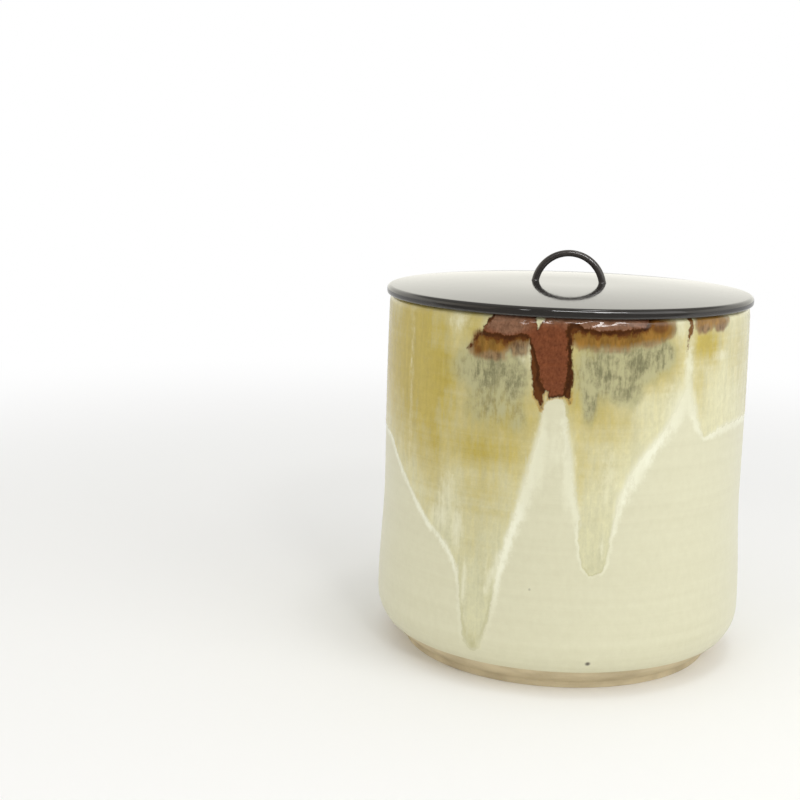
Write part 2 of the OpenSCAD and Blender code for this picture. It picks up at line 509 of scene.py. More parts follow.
    amber: tuple[Outline, ...] = (
        (
            (-42, 168), (-44, 162.4), (-43, 158.6), (-40.4, 157.2), (-37.6, 158.6), (-35, 160.2),
            (-32, 159.2), (-29, 160.8), (-26, 162.4), (-20, 164.4), (-15.6, 165), (-15.5, 172),
        ),
        (
            (1, 172), (2.8, 166.8), (5.5, 165), (10, 164.5), (16.2, 164.7), (25, 164.6), (31, 165.6),
            (37, 167), (42, 167.4), (46.4, 167.8), (50, 169), (52, 172), (51, 175.4), (46, 177),
            (41, 179),
        ),
        (
            (64.6, 177), (65, 172.2), (69, 170.8), (75.7, 172.4), (81, 170.8), (87.4, 172.4), (89, 175),
            (78, 178),
        ),
        ((136, 179), (138, 171), (142, 166), (148, 163), (155, 162), (161, 163), (166, 166.6), (167, 171)),
        ((180, 171), (182.5, 165.6), (187, 163.4), (193, 163.4), (199, 165.6), (205, 169.6), (211, 177)),
        ((248, 180), (252, 172.4), (257, 168), (263, 166), (269, 165.6), (275, 167), (279, 170)),
        ((287, 170), (291, 168.6), (295, 170), (300, 174), (303, 180)),
        ((327, 180), (330, 170.6), (335, 165), (340, 163), (345, 164), (347, 168)),
        ((358, 168), (361, 165), (367, 165), (374, 168), (380, 173), (385, 180)),
    )
    ash: tuple[SoftPatch, ...] = SoftPatch.several(
        (-36, 151, 17, 15, 0.95), (-23, 150, 9, 17, 0.95), (-50, 152, 9, 12, 0.6),
        (-34, 136, 16, 13, 0.72), (-20, 132, 6, 12, 0.6), (9, 153, 6, 14, 0.7), (20, 154, 14, 14, 1.15),
        (34, 157, 13, 10, 1.2), (44, 161, 9, 7, 1.35), (27, 146, 10, 9, 1.0), (12, 141, 4, 12, 1.15),
        (33, 143, 6, 7, 0.6), (150, 153, 15, 11, 0.8), (158, 142, 8, 11, 0.6), (195, 153, 14, 11, 0.8),
        (188, 142, 7, 11, 0.6), (262, 155, 15, 10, 0.75), (276, 149, 8, 9, 0.55),
        (338, 152, 10, 12, 0.75), (366, 153, 12, 11, 0.8), (374, 143, 7, 10, 0.5), (-38, 23, 5, 7, 0.34),
        (17, 64, 4.5, 5, 0.34),
    )
    olive: tuple[SoftPatch, ...] = SoftPatch.several(
        (-78, 144, 34, 42, 1.15), (-104, 152, 32, 38, 1.1), (-66, 112, 16, 24, 0.85),
        (-62, 142, 16, 32, 1.05), (-80, 168, 26, 16, 1.15), (-30, 134, 26, 18, 1.0),
        (-38, 115, 32, 14, 0.82), (-36, 96, 18, 18, 0.48), (-24, 118, 10, 30, 0.5),
        (-40, 72, 10, 18, 0.2), (12, 150, 16, 24), (16, 133, 15, 15, 0.72), (9, 116, 5, 24, 0.42),
        (42, 160, 17, 15), (72, 164, 16, 10, 1.0), (68, 148, 7, 14, 0.4), (19, 110, 8, 12, 0.22),
        (-44, 170, 10, 14, 0.8), (-132, 140, 26, 34, 0.85), (150, 136, 22, 38, 0.9),
        (194, 146, 20, 28, 0.9), (215, 120, 22, 40, 0.85), (240, 140, 20, 34, 0.7),
        (288, 140, 24, 32, 0.85), (340, 122, 20, 40, 0.85), (372, 142, 18, 28, 0.9),
        (402, 140, 26, 32, 0.75), (105, 158, 18, 14, 0.4),
    )
    # Pale patches are paler glaze, but the thin tall streaks at -84 and 104 mm along are painted
    # reflections of the bright surroundings.
    pale: tuple[SoftPatch, ...] = SoftPatch.several(
        (-52, 173, 8, 6, 0.5), (-56, 90, 6, 13, 0.6), (-84, 140, 2.6, 50, 0.36), (54, 138, 8, 12, 0.6),
        (22, 104, 5, 18, 0.45), (54, 173, 4, 6, 0.6), (-9.5, 112, 4, 16, 1.0), (61, 152, 2.8, 18, 0.9),
        (-43.4, 50, 1.3, 11, 1.0), (-42, 38, 0.9, 9, 0.6), (-27.5, 63, 1.6, 5, 1.0),
        (-29, 58.5, 1.4, 4.5, 1.0), (-30.6, 54, 1.3, 4, 1.0), (-32, 49.5, 1.1, 3.6, 0.9),
        (-33, 60, 1.1, 8, 0.5), (20.4, 73, 1.2, 7, 0.9), (-49, 76, 3.4, 12, 0.75), (-59, 80, 6, 8, 0.7),
        (96, 138, 22, 18, 0.3), (-3, 118, 6, 12, 0.6), (3.8, 104, 3, 16, 1.0), (-15, 96, 3, 12, 0.7),
        (59, 139, 6, 6, 0.8), (37, 108, 4, 6, 0.6), (7.6, 88, 2, 6, 0.8), (84, 158, 8, 3, 0.6),
        (104, 150, 8, 30, 0.25),
    )
    # Mauve haze under the amber; the patch at 38 mm along, 165.6 mm up is a painted reflection, a pale
    # pinkish smear over the amber.
    mauve: tuple[SoftPatch, ...] = SoftPatch.several(
        (-21, 162.6, 5.4, 4.2, 1.3), (-45, 160.6, 2.2, 4.4, 0.8), (-34, 158, 8, 2.6, 1.0),
        (70, 171.6, 5, 2.6), (82, 171.4, 6, 2.6), (20, 163, 15, 1.9, 0.7), (38, 165.6, 8, 2.2, 0.7),
        (150, 159, 10, 3, 0.8), (194, 161, 10, 3, 0.8), (262, 164, 9, 3, 0.8), (337, 160, 7, 3, 0.8),
        (370, 163, 9, 3, 0.8),
    )
    thick: tuple[SoftPatch, ...] = SoftPatch.several(
        (43.6, 174, 5.4, 3.6, 1.2), (-41, 160, 2.6, 3.4, 0.8), (60.4, 172, 4, 16, 1.2),
    )
    # Where the iron near the rim turns to the lighter mauve iron_rim: thinner iron, and a painted
    # reflection of the bright room on the rim's curve.
    thin_iron_sheen: tuple[SoftPatch, ...] = SoftPatch.several(
        (-28, 174, 12, 6, 1.2), (17, 175, 19, 5, 1.2), (-6, 178, 12, 4), (150, 174, 14, 6),
        (192, 174, 14, 6), (276, 175, 22, 5), (340, 173, 10, 6), (368, 175, 10, 6),
    )
    edge_share: float = 0.56
    inside_drop: float = 52.0
    inside_waves: tuple[Three, ...] = ((17.0, 3.0, 1.0), (8.0, 7.0, 0.0))
    front_reach: float = 56.0
    iron_rim_w: float = 1.8
    join_power: float = 5.0

    def around(self, along: np.ndarray) -> np.ndarray:
        """Same places round the jar, counted from half a turn left of the front to half a turn right."""
        return (along + self.girth / 2) % self.girth - self.girth / 2

    @staticmethod
    def nearest(points: np.ndarray, curve: np.ndarray) -> tuple[np.ndarray, np.ndarray]:
        """Finds the point of a curve that is nearest to each place.

        Args:
            points: Places to measure from.
            curve: Closely set points of the curve.

        Returns:
            The distances, and the indices of the nearest points.
        """
        tree = KDTree(len(curve))
        for index, (along, height) in enumerate(curve[:, :2]):
            tree.insert((along, height, 0.0), index)
        tree.balance()
        found = [tree.find((along, height, 0.0)) for along, height in points]
        return np.array([hit[2] for hit in found]), np.array([hit[1] for hit in found])

    def edge_curve(self) -> np.ndarray:
        """Smooth curve through the points of the run edge, with a turn to each side so that it has no ends.

        Returns:
            Points of the curve with its softness and whiteness, ordered round the jar.
        """
        ring = np.array(self.run_edge, float)
        shift = np.array([self.girth, 0.0, 0.0, 0.0])
        points = np.vstack([ring - shift, ring, ring + shift])
        before, here, after, beyond = points[:-3], points[1:-2], points[2:-1], points[3:]
        curve = []
        for t in np.arange(SPANS) / SPANS:
            curve.append(
                0.5 * (2 * here + (after - before) * t + (2 * before - 5 * here + 4 * after - beyond) * t**2
                       + (3 * here - before - 3 * after + beyond) * t**3)
            )
        curve = np.stack(curve, 1).reshape(-1, 4)
        return curve[np.abs(curve[:, 0]) < self.edge_share * self.girth]

    def depth_inside(self, points: np.ndarray, outline: Outline) -> np.ndarray:
        """Distance from a closed outline, positive inside it.

        Args:
            points: Places on the unrolled wall.
            outline: Corners of the outline.

        Returns:
            One signed distance for each place, no lower than -FAR.
        """
        corners = np.array(outline, float)
        middle = corners[:, 0].mean()
        away = np.stack([middle + self.around(points[:, 0] - middle), points[:, 1]], 1)
        low, high = corners.min(0) - FAR, corners.max(0) + FAR
        close = np.all((away > low) & (away < high), axis=1)
        depth = np.full(len(points), -FAR)
        away = away[close]
        ends = np.roll(corners, -1, axis=0)
        inside = np.zeros(len(away), bool)
        for (x0, y0), (x1, y1) in zip(corners, ends):
            crosses = (y0 > away[:, 1]) != (y1 > away[:, 1])
            reach = (x1 - x0) * (away[:, 1] - y0) / ((y1 - y0) or TINY) + x0
            inside ^= crosses & (away[:, 0] < reach)
        share = (np.arange(SPANS) / SPANS)[:, None, None]
        line = (corners + share * (ends - corners)).reshape(-1, 2)
        gap, _ = self.nearest(away, line)
        depth[close] = np.where(inside, gap, -np.minimum(gap, FAR))
        return depth

    def run_depth(self, points: np.ndarray) -> tuple[np.ndarray, np.ndarray, np.ndarray]:
        """Distance into the glaze that ran, negative on the plain cream glaze.

        Args:
            points: Places on the unrolled wall.

        Returns:
            One signed distance for each place, and how soft and how white the edge near it is.
        """
        curve = self.edge_curve()
        edge = np.interp(points[:, 0], curve[:, 0], curve[:, 1])
        gap, index = self.nearest(points, curve)
        outer = np.where(points[:, 1] > edge, gap, -gap)
        turn = points[:, 0] * math.tau / self.girth
        inner = self.rim + self.inside_drop - points[:, 1]
        for rise, count, phase in self.inside_waves:
            inner += rise * np.sin(count * turn + phase)
        depth = np.clip(np.minimum(outer, inner), -FAR, FAR)
        return depth, curve[index, 2], np.clip(curve[index, 3], 0.0, 1.0)

    def patch_depth(self, points: np.ndarray, outlines: tuple[Outline, ...]) -> np.ndarray:
        """Distance into the nearest of several outlines.

        Args:
            points: Places on the unrolled wall.
            outlines: Closed outlines.

        Returns:
            One signed distance for each place, no lower than -FAR.
        """
        depth = np.full(len(points), -FAR)
        for outline in outlines:
            depth = np.maximum(depth, self.depth_inside(points, outline))
        return depth

    def iron_depth(self, points: np.ndarray) -> np.ndarray:
        """Distance into the iron-brown glaze, less the gap in it under the rim."""
        return np.minimum(self.patch_depth(points, self.iron), -self.depth_inside(points, self.iron_gap))

    def core_depth(self, points: np.ndarray) -> np.ndarray:
        """Distance into the iron's red core, which away from the front is a rim's width inside the iron.

        Args:
            points: Places on the unrolled wall.

        Returns:
            One signed distance for each place.
        """
        front = np.abs(points[:, 0]) < self.front_reach
        elsewhere = self.iron_depth(points) - self.iron_rim_w
        return np.where(front, self.depth_inside(points, self.iron_core), elsewhere)

    def gather(self, points: np.ndarray, patches: tuple[SoftPatch, ...]) -> np.ndarray:
        """Strength of the soft patches at each place, joined smoothly.

        Args:
            points: Places on the unrolled wall.
            patches: Ovals where a colour gathers.

        Returns:
            Strengths from 0, about that of the strongest patch.
        """
        strength = np.zeros(len(points))
        for patch in patches:
            across = self.around(points[:, 0] - patch.along) / patch.half_width
            up = (points[:, 1] - patch.height) / patch.half_height
            strength += (patch.strength * np.exp(-(across**2 + up**2))) ** self.join_power
        return strength ** (1 / self.join_power)


# Finishes


@dataclass(frozen=True)
class FlowNoise:
    """Noises in the glaze, each lying around zero, and the height that its colours change with."""

    bench: MaterialBench
    height: Socket
    strokes: Socket
    blotches: Socket
    grains: Socket
    grit: Socket
    rings: Socket
    drips: Socket

    @classmethod
    def on(cls, bench: MaterialBench) -> "FlowNoise":
        """Adds the noises to a material.

        Args:
            bench: Bench of the material.

        Returns:
            Short strokes, soft blotches and grains along the flow, fine grit, the lines of the throwing and
            long thin drips.
        """
        return cls(
            bench,
            height=bench.part(bench.coords, 2),
            strokes=bench.ripple((520, 520, 125), 6.0, 0.7),
            blotches=bench.ripple((95, 95, 50), 4.0, 0.6, (3.1, 1.7, 0.4)),
            grains=bench.ripple((300, 300, 240), 5.0, 0.65, (7.3, 2.9, 5.1)),
            grit=bench.ripple((1000, 1000, 700), 4.0, 0.7, (2.3, 5.9, 1.1)),
            rings=bench.ripple((5, 5, 280), 4.0, 0.65, (1.9, 8.2, 3.3)),
            drips=bench.ripple((360, 360, 26), 4.0, 0.62, (5.7, 0.8, 6.4)),
        )

    def stir(self, **gains: float) -> Socket:
        """Sum of noises, each times its gain.

        Args:
            **gains: Gain of each noise, by the noise's name.

        Returns:
            The sum, which lies around zero.
        """
        parts = [self.bench.times(getattr(self, name), gain) for name, gain in gains.items()]
        return reduce(self.bench.plus, parts)


@dataclass(frozen=True)
class Speck:
    """A dark speck of iron in the glaze, with the share of its size that is darkest."""

    place: Three
    size: float
    strength: float
    solid: float = 0.4


@dataclass(frozen=True)
class GlazeFinish:
    """Cream glaze with runs of straw, olive, ash, amber and iron.

    Values with between in their name are heights in metres where a change of the glaze starts and is
    complete.
    """

    cream: Color = (0.684, 0.664, 0.476)
    cream_shade: Color = (0.636, 0.612, 0.428)
    edge_white: Color = (0.825, 0.82, 0.645)
    straw: Color = (0.66, 0.63, 0.395)
    thin_run: Color = (0.61, 0.592, 0.38)
    olive: Color = (0.465, 0.365, 0.075)
    pale: Color = (0.735, 0.72, 0.53)
    ash_light: Color = (0.452, 0.424, 0.228)
    ash_dark: Color = (0.19, 0.18, 0.092)
    mauve: Color = (0.29, 0.18, 0.085)
    mauve_dark: Color = (0.10, 0.05, 0.025)
    amber: Color = (0.262, 0.132, 0.022)
    amber_dark: Color = (0.155, 0.06, 0.008)
    fringe: Color = (0.43, 0.24, 0.035)
    iron_red: Color = (0.166, 0.051, 0.020)
    # Iron near the rim: thin iron, lightened as a painted reflection of the rim's curve.
    iron_rim: Color = (0.218, 0.110, 0.064)
    iron_brown: Color = (0.110, 0.036, 0.008)
    iron_dark: Color = (0.042, 0.012, 0.002)
    speck: Color = (0.05, 0.035, 0.025)
    specks: tuple[Speck, ...] = (
        Speck((0.0232, -0.0886, 0.0168), 0.0019, 0.95), Speck((-0.0049, -0.0914, 0.0517), 0.0008, 0.3),
    )
    thin_between: Point2 = (0.110, 0.045)
    fringe_between: Point2 = (0.1455, 0.143)
    ragged_between: Point2 = (0.161, 0.164)
    lumps_between: Point2 = (0.1725, 0.1755)
    lump_gain: float = 5.2
    bump_height: float = 0.0003
    cream_roughness: float = 0.32
    run_roughness: float = 0.2
    iron_polish: float = 0.13

    def material(self) -> bpy.types.Material:
        """Builds the glaze from the fields that the mesh carries and noises that follow its flow.

        Returns:
            The finished material.
        """
        bench = MaterialBench("runny_glaze")
        flow = FlowNoise.on(bench)
        color = bench.mix(bench.plus(flow.stir(rings=1.4, grains=1.5), 0.5), self.cream_shade, self.cream)
        soft = bench.attribute("edge_soft")
        wave = bench.times(flow.stir(blotches=1.0, grains=1.0), bench.span(soft, 0.8, 3.0, 0.3, 3.0))
        run = bench.plus(bench.attribute("run_depth"), bench.plus(flow.stir(grains=2.3, grit=1.6), wave))
        color = self.run_over(flow, color, run, soft)
        # Pale patches: paler glaze, and two thin tall streaks of painted reflection.
        pale = bench.attribute("pale")
        stir = bench.times(flow.stir(strokes=1.1, grains=1.0, drips=0.5), bench.span(pale, 0.0, 0.3))
        color = bench.mix(bench.span(bench.plus(pale, stir), 0.08, 1.1, 0.0, 0.95), color, self.pale)
        color = self.iron_over(flow, color)
        for speck in self.specks:
            away = bench.distance(bench.coords, speck.place)
            dot = bench.span(away, speck.size, speck.size * speck.solid, 0.0, speck.strength)
            color = bench.mix(dot, color, self.speck)
        iron = bench.span(bench.attribute("iron_depth"), -1.0, 0.5)
        swell = bench.times(bench.ripple((130, 130, 230), 0.0, 0.5, (8.1, 4.4, 2.2)), self.lump_gain)
        lumps = bench.times(bench.times(iron, bench.span(flow.height, *self.lumps_between)), swell)
        bench.bump(bench.plus(flow.stir(rings=0.6, grains=0.4), lumps), self.bump_height)
        gloss = bench.span(run, -1.0, 2.0, self.cream_roughness, self.run_roughness)
        return bench.finish(color, bench.math("SUBTRACT", gloss, bench.times(iron, self.iron_polish)))

    def run_over(self, flow: FlowNoise, color: Socket, run: Socket, soft: Socket) -> Socket:
        """Lays the glaze that ran over the cream, with a grey and a broken white line along its edge.

        Args:
            flow: Noises of the material.
            color: Colour of the cream glaze.
            run: Distance into the run.
            soft: Softness of the run's edge.

        Returns:
            The colour with the run.
        """
        bench = flow.bench
        whiteness = bench.attribute("edge_white")
        shore = bench.math("DIVIDE", run, soft)
        feather = bench.plus(shore, flow.stir(strokes=1.9, drips=1.0))
        color = bench.mix(bench.span(feather, -0.5, 1.0), color, self.run_color(flow))
        line = bench.times(bench.hump(shore, -0.3, 0.6, 1.8), bench.span(whiteness, 0.7, 0.3, 0.0, 0.42))
        line = bench.times(line, bench.span(soft, 2.4, 1.5))
        color = bench.mix(line, color, self.ash_light)
        white = bench.times(bench.hump(shore, -1.7, -0.4, 0.9), whiteness)
        broken = bench.span(flow.stir(strokes=1.0, grains=1.0, blotches=1.2), -0.34, 0.10, 0.4, 1.0)
        return bench.mix(bench.times(white, broken), color, self.edge_white)

    def run_color(self, flow: FlowNoise) -> Socket:
        """Colour of the glaze that ran, before the iron is laid over it.

        Args:
            flow: Noises of the material.

        Returns:
            The colour: straw to olive, thinner and greyer lower down, with ash strokes.
        """
        bench = flow.bench
        base = bench.mix(bench.span(flow.height, *self.thin_between), self.straw, self.thin_run)
        olive = bench.attribute("olive")
        stir = flow.stir(blotches=0.9, strokes=0.5, rings=0.5, drips=0.5)
        olive = bench.plus(olive, bench.times(stir, bench.span(olive, 0.0, 0.4, 0.45, 1.0)))
        color = bench.mix(olive, base, self.olive)
        stir = flow.stir(strokes=0.3, grains=0.26, drips=0.35, grit=0.2)
        color = bench.shade(color, bench.plus(stir, 1.0))
        ash = bench.attribute("ash")
        lift = bench.span(ash, 0.3, 1.3, 0.12, -0.14, Interp.LINEAR)
        tone = bench.plus(flow.stir(strokes=1.2, grains=0.9, blotches=0.8), lift)
        strokes = bench.mix(bench.span(tone, -0.34, 0.2), self.ash_dark, self.ash_light)
        ash = bench.plus(ash, flow.stir(blotches=1.0, strokes=0.8))
        return bench.mix(bench.span(ash, 0.15, 0.8), color, strokes)

    def iron_over(self, flow: FlowNoise, color: Socket) -> Socket:
        """Lays the amber and then the iron over the runs.

        Args:
            flow: Noises of the material.
            color: Colour of the runs.

        Returns:
            The colour with amber, brown and red iron.
        """
        bench = flow.bench
        drag = flow.stir(strokes=4.0, drips=3.6, grains=2.0)
        ragged = flow.stir(blotches=2.1, grains=1.4, grit=2.4, strokes=1.6)
        high = bench.span(flow.height, *self.ragged_between)
        iron = bench.plus(bench.attribute("iron_depth"), ragged)
        iron = bench.plus(iron, bench.times(flow.stir(drips=4.0, grains=3.5), high))
        thick = bench.span(bench.plus(bench.attribute("thick"), bench.times(drag, 0.1)), 0.2, 0.8)
        color = self.amber_over(flow, color, drag, iron, thick)
        core = bench.plus(bench.attribute("core_depth"), bench.plus(ragged, flow.stir(blotches=4.0)))
        # Near the rim the red iron turns lighter mauve: thin iron, and a painted reflection.
        thin_iron_sheen = bench.plus(bench.attribute("thin_iron_sheen"), flow.stir(blotches=0.5))
        red = bench.mix(bench.span(thin_iron_sheen, 0.15, 0.75), self.iron_red, self.iron_rim)
        red = bench.shade(red, bench.plus(flow.stir(grains=0.9, grit=1.6, rings=0.6), 1.0))
        layer = bench.mix(bench.span(core, -0.2, 0.5), self.iron_brown, red)
        gathered = bench.span(flow.blotches, -0.15, 0.1, 0.7, 1.0)
        vein = bench.times(bench.hump(core, -2.8, -0.7, 0.5), gathered)
        broken = bench.span(flow.stir(blotches=1.0, strokes=1.0), -0.1, 0.12, 0.1, 0.7)
        rim = bench.times(bench.hump(iron, -0.4, 0.5, 1.6), broken)
        layer = bench.mix(bench.math("MAXIMUM", vein, rim), layer, self.iron_dark)
        layer = bench.mix(thick, layer, self.amber_dark)
        return bench.mix(bench.span(iron, -0.6, 0.5), color, layer)

    def amber_over(
        self, flow: FlowNoise, color: Socket, drag: Socket, iron: Socket, thick: Socket
    ) -> Socket:
        """Lays the amber over the runs, with mauve haze under it, and a bright fringe low round the iron.

        Args:
            flow: Noises of the material.
            color: Colour of the runs.
            drag: Noise that moves the amber's edge.
            iron: Distance into the iron.
            thick: Share of thick, dark amber.

        Returns:
            The colour with mauve, amber and the fringe.
        """
        bench = flow.bench
        haze = bench.span(flow.stir(strokes=1.5, grains=1.0), -0.25, 0.2)
        haze = bench.mix(haze, self.mauve_dark, self.mauve)
        amber = bench.plus(bench.attribute("amber_depth"), drag)
        color = bench.mix(bench.span(amber, -2.4, -0.4, 0.0, 0.6), color, haze)
        near_iron = bench.span(bench.plus(iron, drag), -2.0, -0.2)
        glow = bench.mix(bench.math("MAXIMUM", near_iron, thick), self.amber, self.amber_dark)
        glow = bench.shade(glow, bench.plus(flow.stir(drips=1.0, strokes=1.2, blotches=1.6), 1.0))
        color = bench.mix(bench.span(amber, -1.9, 1.7), color, glow)
        # Mauve patches; one of them is a painted reflection across the amber.
        mauve = bench.plus(bench.attribute("mauve"), bench.times(drag, 0.2))
        color = bench.mix(bench.span(mauve, 0.25, 0.9, 0.0, 0.85), color, haze)
        low = bench.span(flow.height, *self.fringe_between, 0.0, 0.6)
        return bench.mix(bench.times(bench.hump(iron, -1.3, -0.4, 0.3), low), color, self.fringe)


@dataclass(frozen=True)
class ClayFinish:
    """Bare stoneware with the fine lines of the trimming tool."""

    clay: Color = (0.66, 0.56, 0.365)
    clay_dark: Color = (0.52, 0.43, 0.27)
    grit: Color = (0.20, 0.15, 0.10)
    bump_height: float = 0.0004

    def material(self) -> bpy.types.Material:
        """Builds the clay with grain, trimming lines and dark grit.

        Returns:
            The finished material.
        """
        bench = MaterialBench("bare_clay")
        grain = bench.noise((900, 900, 900), 5.0, 0.65)
        cloud = bench.noise((60, 60, 90), 3.0, 0.5, (4.0, 1.0, 2.0))
        lines = bench.noise((9, 9, 1300), 3.0, 0.6, (0.5, 6.0, 1.0))
        color = bench.mix(bench.span(cloud, 0.3, 0.7), self.clay_dark, self.clay)
        color = bench.mix(bench.span(lines, 0.55, 0.7, 0.0, 0.35), color, self.clay_dark)
        color = bench.mix(bench.span(grain, 0.66, 0.74, 0.0, 0.7), color, self.grit)
        bench.bump(bench.plus(bench.times(lines, 0.6), bench.times(grain, 0.4)), self.bump_height)
        return bench.finish(color, bench.span(grain, 0.3, 0.7, 0.72, 0.9))


@dataclass(frozen=True)
class LacquerFinish:
    """Polished lacquer on wood, with the faint ripple of its last coat."""

    name: str
    black: Color
    brown: Color
    grain_per_metre: Three
    roughness: float = 0.06
    dusty: float = 1.8
    ripple_height: float = 0.00003
    ior: float = 1.53

    def material(self) -> bpy.types.Material:
        """Builds the lacquer with a warm undertone and a fine ripple.

        Returns:
            The finished material.
        """
        bench = MaterialBench(self.name)
        grain = bench.noise(self.grain_per_metre, 4.0, 0.6)
        dust = bench.noise((700, 700, 700), 2.0, 0.5, (3.0, 3.0, 1.0))
        color = bench.mix(bench.span(grain, 0.35, 0.75), self.black, self.brown)
        bench.bump(bench.noise((55, 55, 55), 2.0, 0.5, (6.0, 2.0, 4.0)), self.ripple_height)
        roughness = bench.span(dust, 0.35, 0.75, self.roughness, self.roughness * self.dusty)
        return bench.finish(color, roughness, self.ior)


# The jar


@dataclass(frozen=True)
class JarShape:
    """Section of the jar in millimetres, the same as that of its solids."""

    belly_r: float
    top: float
    belly_z: float = 25.5
    waist_r: float = 89.7
    waist_z: float = 85.0
    mouth_r: float = 88.9
    wall: float = 6.4
    floor: float = 8.0
    lip_r: float = 2.4
    inner_heel_r: float = 20.0
    foot_r: float = 77.6
    foot_h: float = 3.2
    foot_ring: float = 11.0
    foot_hollow: float = 2.4
    foot_round: float = 0.6
    hollow_round: float = 1.2
    heel_power: float = 2.25
    glaze: float = 0.8
    glaze_line: float = 11.4

    @property
    def rim(self) -> float:
        """Height of the clay rim under its glaze."""
        return self.top - self.glaze

    @property
    def lip_z(self) -> float:
        """Height at which the rim starts to round over."""
        return self.rim - self.lip_r

    @property
    def floor_z(self) -> float:
        """Height of the clay floor inside."""
        return self.foot_hollow + self.floor

    @property
    def inner_heel_z(self) -> float:
        """Height at which the inside starts to round into the floor."""
        return self.floor_z + self.inner_heel_r

    def outside_r(self, z: float) -> float:
        """Radius of the clay's outside.

        Args:
            z: Height.

        Returns:
            The radius at that height.
        """
        if z < self.belly_z:
            share = (self.belly_z - z) / (self.belly_z - self.foot_h)
            return self.belly_r - (self.belly_r - self.foot_r) * share**self.heel_power
        if z < self.waist_z:
            share = (self.waist_z - z) / (self.waist_z - self.belly_z)
            return self.waist_r + (self.belly_r - self.waist_r) * (1 - math.cos(math.pi * share)) / 2
        share = (z - self.waist_z) / (self.rim - self.waist_z)
        return self.waist_r + (self.mouth_r - self.waist_r) * share**3

    def outside_point(self, z: float, out: float) -> Point2:
        """Point of the outside, moved out square to the surface.

        Args:
            z: Height on the clay.
            out: Distance outwards.

        Returns:
            Its radius and height.
        """
        step = 0.05
        slope = (self.outside_r(z + step) - self.outside_r(z - step)) / (2 * step)
        length = math.hypot(1.0, slope)
        return self.outside_r(z) + out / length, z - out * slope / length

    def outside(self, low: float, high: float, out: float, steps: int) -> list[Point2]:
        """Outside between two heights, both included."""
        return [self.outside_point(low + (high - low) * i / steps, out) for i in range(steps + 1)]

    def rim_and_inside(self, out: float, arc: int, wall: int, heel: int, floor: int) -> list[Point2]:
        """Section over the rim and down the inside to the middle of the floor.

        Args:
            out: Distance from the clay into the open.
            arc: Spans on each of the rim's rounded edges.
            wall: Spans down the inside wall.
            heel: Spans round the inside corner.
            floor: Spans across the floor.

        Returns:
            The points in order, without the start of the rim.
        """
        rim_r = self.outside_r(self.lip_z)
        inner_r = rim_r - self.wall
        points = arc_points((rim_r - self.lip_r, self.lip_z), self.lip_r + out, 0, 90, arc)[1:]
        points += arc_points((inner_r + self.lip_r, self.lip_z), self.lip_r + out, 90, 180, arc)
        for i in range(1, wall):
            z = self.lip_z + (self.inner_heel_z - self.lip_z) * i / wall
            points.append((self.outside_r(z) - self.wall - out, z))
        heel_r = self.outside_r(self.inner_heel_z) - self.wall - self.inner_heel_r
        points += arc_points((heel_r, self.inner_heel_z), self.inner_heel_r - out, 0, -90, heel)
        floor_z = self.floor_z + out
        return points + line_points((heel_r, floor_z), (0.0, floor_z), floor)[1:]


